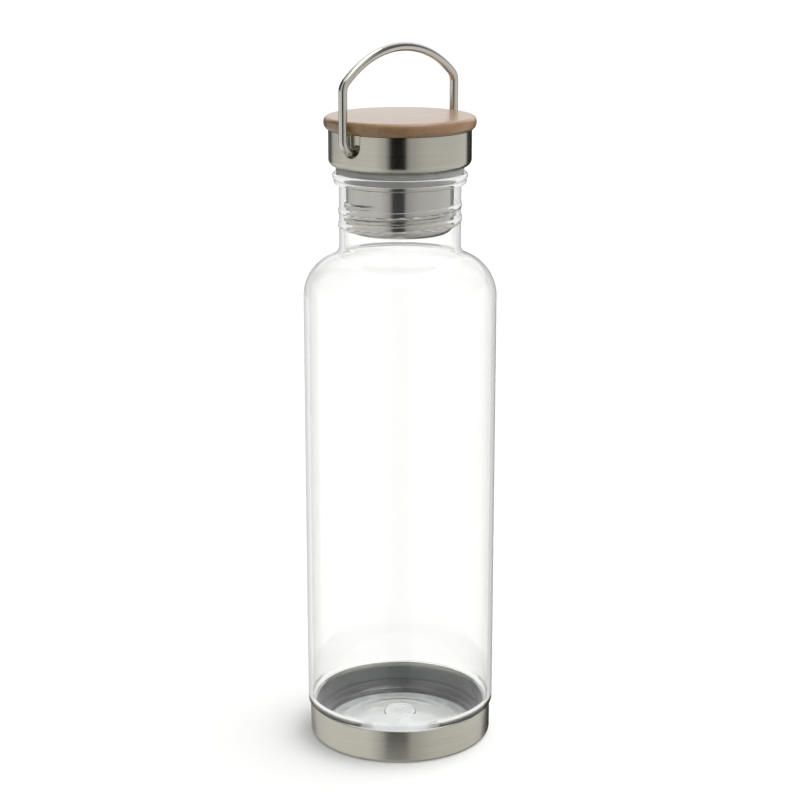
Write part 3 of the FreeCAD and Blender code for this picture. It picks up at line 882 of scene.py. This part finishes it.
def make_floor():
    angles = [i * TURN / STUDIO_SIDES for i in range(STUDIO_SIDES)]
    rim = [(GROUND_R * math.cos(a), GROUND_R * math.sin(a), GROUND_Z) for a in angles]
    data = bpy.data.meshes.new("floor")
    data.from_pydata(rim, [], [tuple(range(STUDIO_SIDES))])
    floor = in_scene("floor", data)
    paper = Graph("pale_floor")
    paper.set(Base_Color=(0.96, 0.96, 0.95, 1), Roughness=0.9, Specular_IOR_Level=0.1)
    data.materials.append(paper.material)
    floor.visible_diffuse = False
    floor.visible_glossy = False


def level_round(g, share, stops):
    """Grey level from a colour ramp over a share of the turn, with stops at degrees from -180 to 180."""
    ramp = g.node("ValToRGB", {"Fac": share})
    elements = ramp.color_ramp.elements
    for element, (degrees, level) in zip((elements[0], elements[1]), (stops[0], stops[-1])):
        element.position = (degrees + 180) / 360
        element.color = (level, level, level, 1)
    for degrees, level in stops[1:-1]:
        elements.new((degrees + 180) / 360).color = (level, level, level, 1)
    return ramp.outputs[0]


def surround_light(name):
    """Emission by angle round the Z axis from the camera's side, for bands of height from low to high.

    Light that was mirrored inside the clear wall gets one plain level instead.
    """
    g = Graph(name)
    x, y, z = g.split(g.point())[:3]
    across = g.math("ADD", g.math("MULTIPLY", x, CAMERA_RIGHT.x), g.math("MULTIPLY", y, CAMERA_RIGHT.y))
    nearer = g.math("ADD", g.math("MULTIPLY", x, TOWARDS_CAMERA.x), g.math("MULTIPLY", y, TOWARDS_CAMERA.y))
    share = g.math("MULTIPLY_ADD", g.math("ARCTAN2", across, nearer), 1 / TURN, 0.5)
    levels = [level_round(g, share, stops) for stops in BANDS]
    light = levels[0]
    for (from_z, to_z), level in zip(BAND_BLENDS, levels[1:]):
        light = g.mix(g.span(z, from_z * MM, to_z * MM, 0, 1), light, level)
    depth = g.node("LightPath", {}).outputs["Transmission Depth"]
    mirrored_inside = g.math("COMPARE", g.math("MODULO", depth, 2.0), 1.0, 0.1)
    light = g.mix(mirrored_inside, light, (INNER_LEVEL,) * 3)
    glow = g.node("Emission", {"Color": light, "Strength": 1.0}).outputs[0]
    g.put(g.tree.nodes["Material Output"].inputs["Surface"], glow)
    return g.material


def make_surround():
    """What polished surfaces mirror: soft boxes with black flags between them, seen only by gloss."""
    angles = [i * TURN / STUDIO_SIDES for i in range(STUDIO_SIDES)]
    vertices = [
        (SURROUND_R * math.cos(a), SURROUND_R * math.sin(a), z)
        for z in (SURROUND_LOW_Z, SURROUND_HIGH_Z) for a in angles
    ]
    faces = grid_faces(2, STUDIO_SIDES, False, False, False)
    surround = mesh_object("surround", vertices, [face[::-1] for face in faces])
    surround.data.materials.append(surround_light("surround_light"))
    for ray in ("camera", "diffuse", "transmission", "volume_scatter", "shadow"):
        setattr(surround, "visible_" + ray, False)


def soft_sun(name, towards_light, strength, spread):
    data = bpy.data.lights.new(name, "SUN")
    data.energy = strength
    data.angle = math.radians(spread)
    look_along(in_scene(name, data), -towards_light)


def make_world():
    world = bpy.data.worlds.new("studio_world")
    bpy.context.scene.world = world
    world.use_nodes = True
    nodes, links = world.node_tree.nodes, world.node_tree.links
    ray_kind = nodes.new("ShaderNodeLightPath")
    in_gloss = nodes.new("ShaderNodeMapRange")
    in_gloss.inputs["To Min"].default_value = 1.0
    in_gloss.inputs["To Max"].default_value = WORLD_GLOSS
    in_fill = nodes.new("ShaderNodeMapRange")
    in_fill.inputs["To Max"].default_value = WORLD_FILL
    links.new(ray_kind.outputs["Is Reflection Ray"], in_gloss.inputs["Value"])
    links.new(ray_kind.outputs["Is Diffuse Ray"], in_fill.inputs["Value"])
    links.new(in_gloss.outputs[0], in_fill.inputs["To Min"])
    links.new(in_fill.outputs[0], nodes["Background"].inputs["Strength"])
    nodes["Background"].inputs["Color"].default_value = (1, 1, 1, 1)


make_camera()
make_floor()
make_surround()
soft_sun("key_light", CAMERA_RIGHT - TOWARDS_CAMERA * 0.25 + UP, strength=2.3, spread=90)
soft_sun("top_light", UP - TOWARDS_CAMERA * 0.2, strength=0.9, spread=90)
make_world()

view = bpy.context.scene.view_settings
view.view_transform = "Standard"
view.look = "None"
view.exposure = 0.0
view.gamma = 1.0
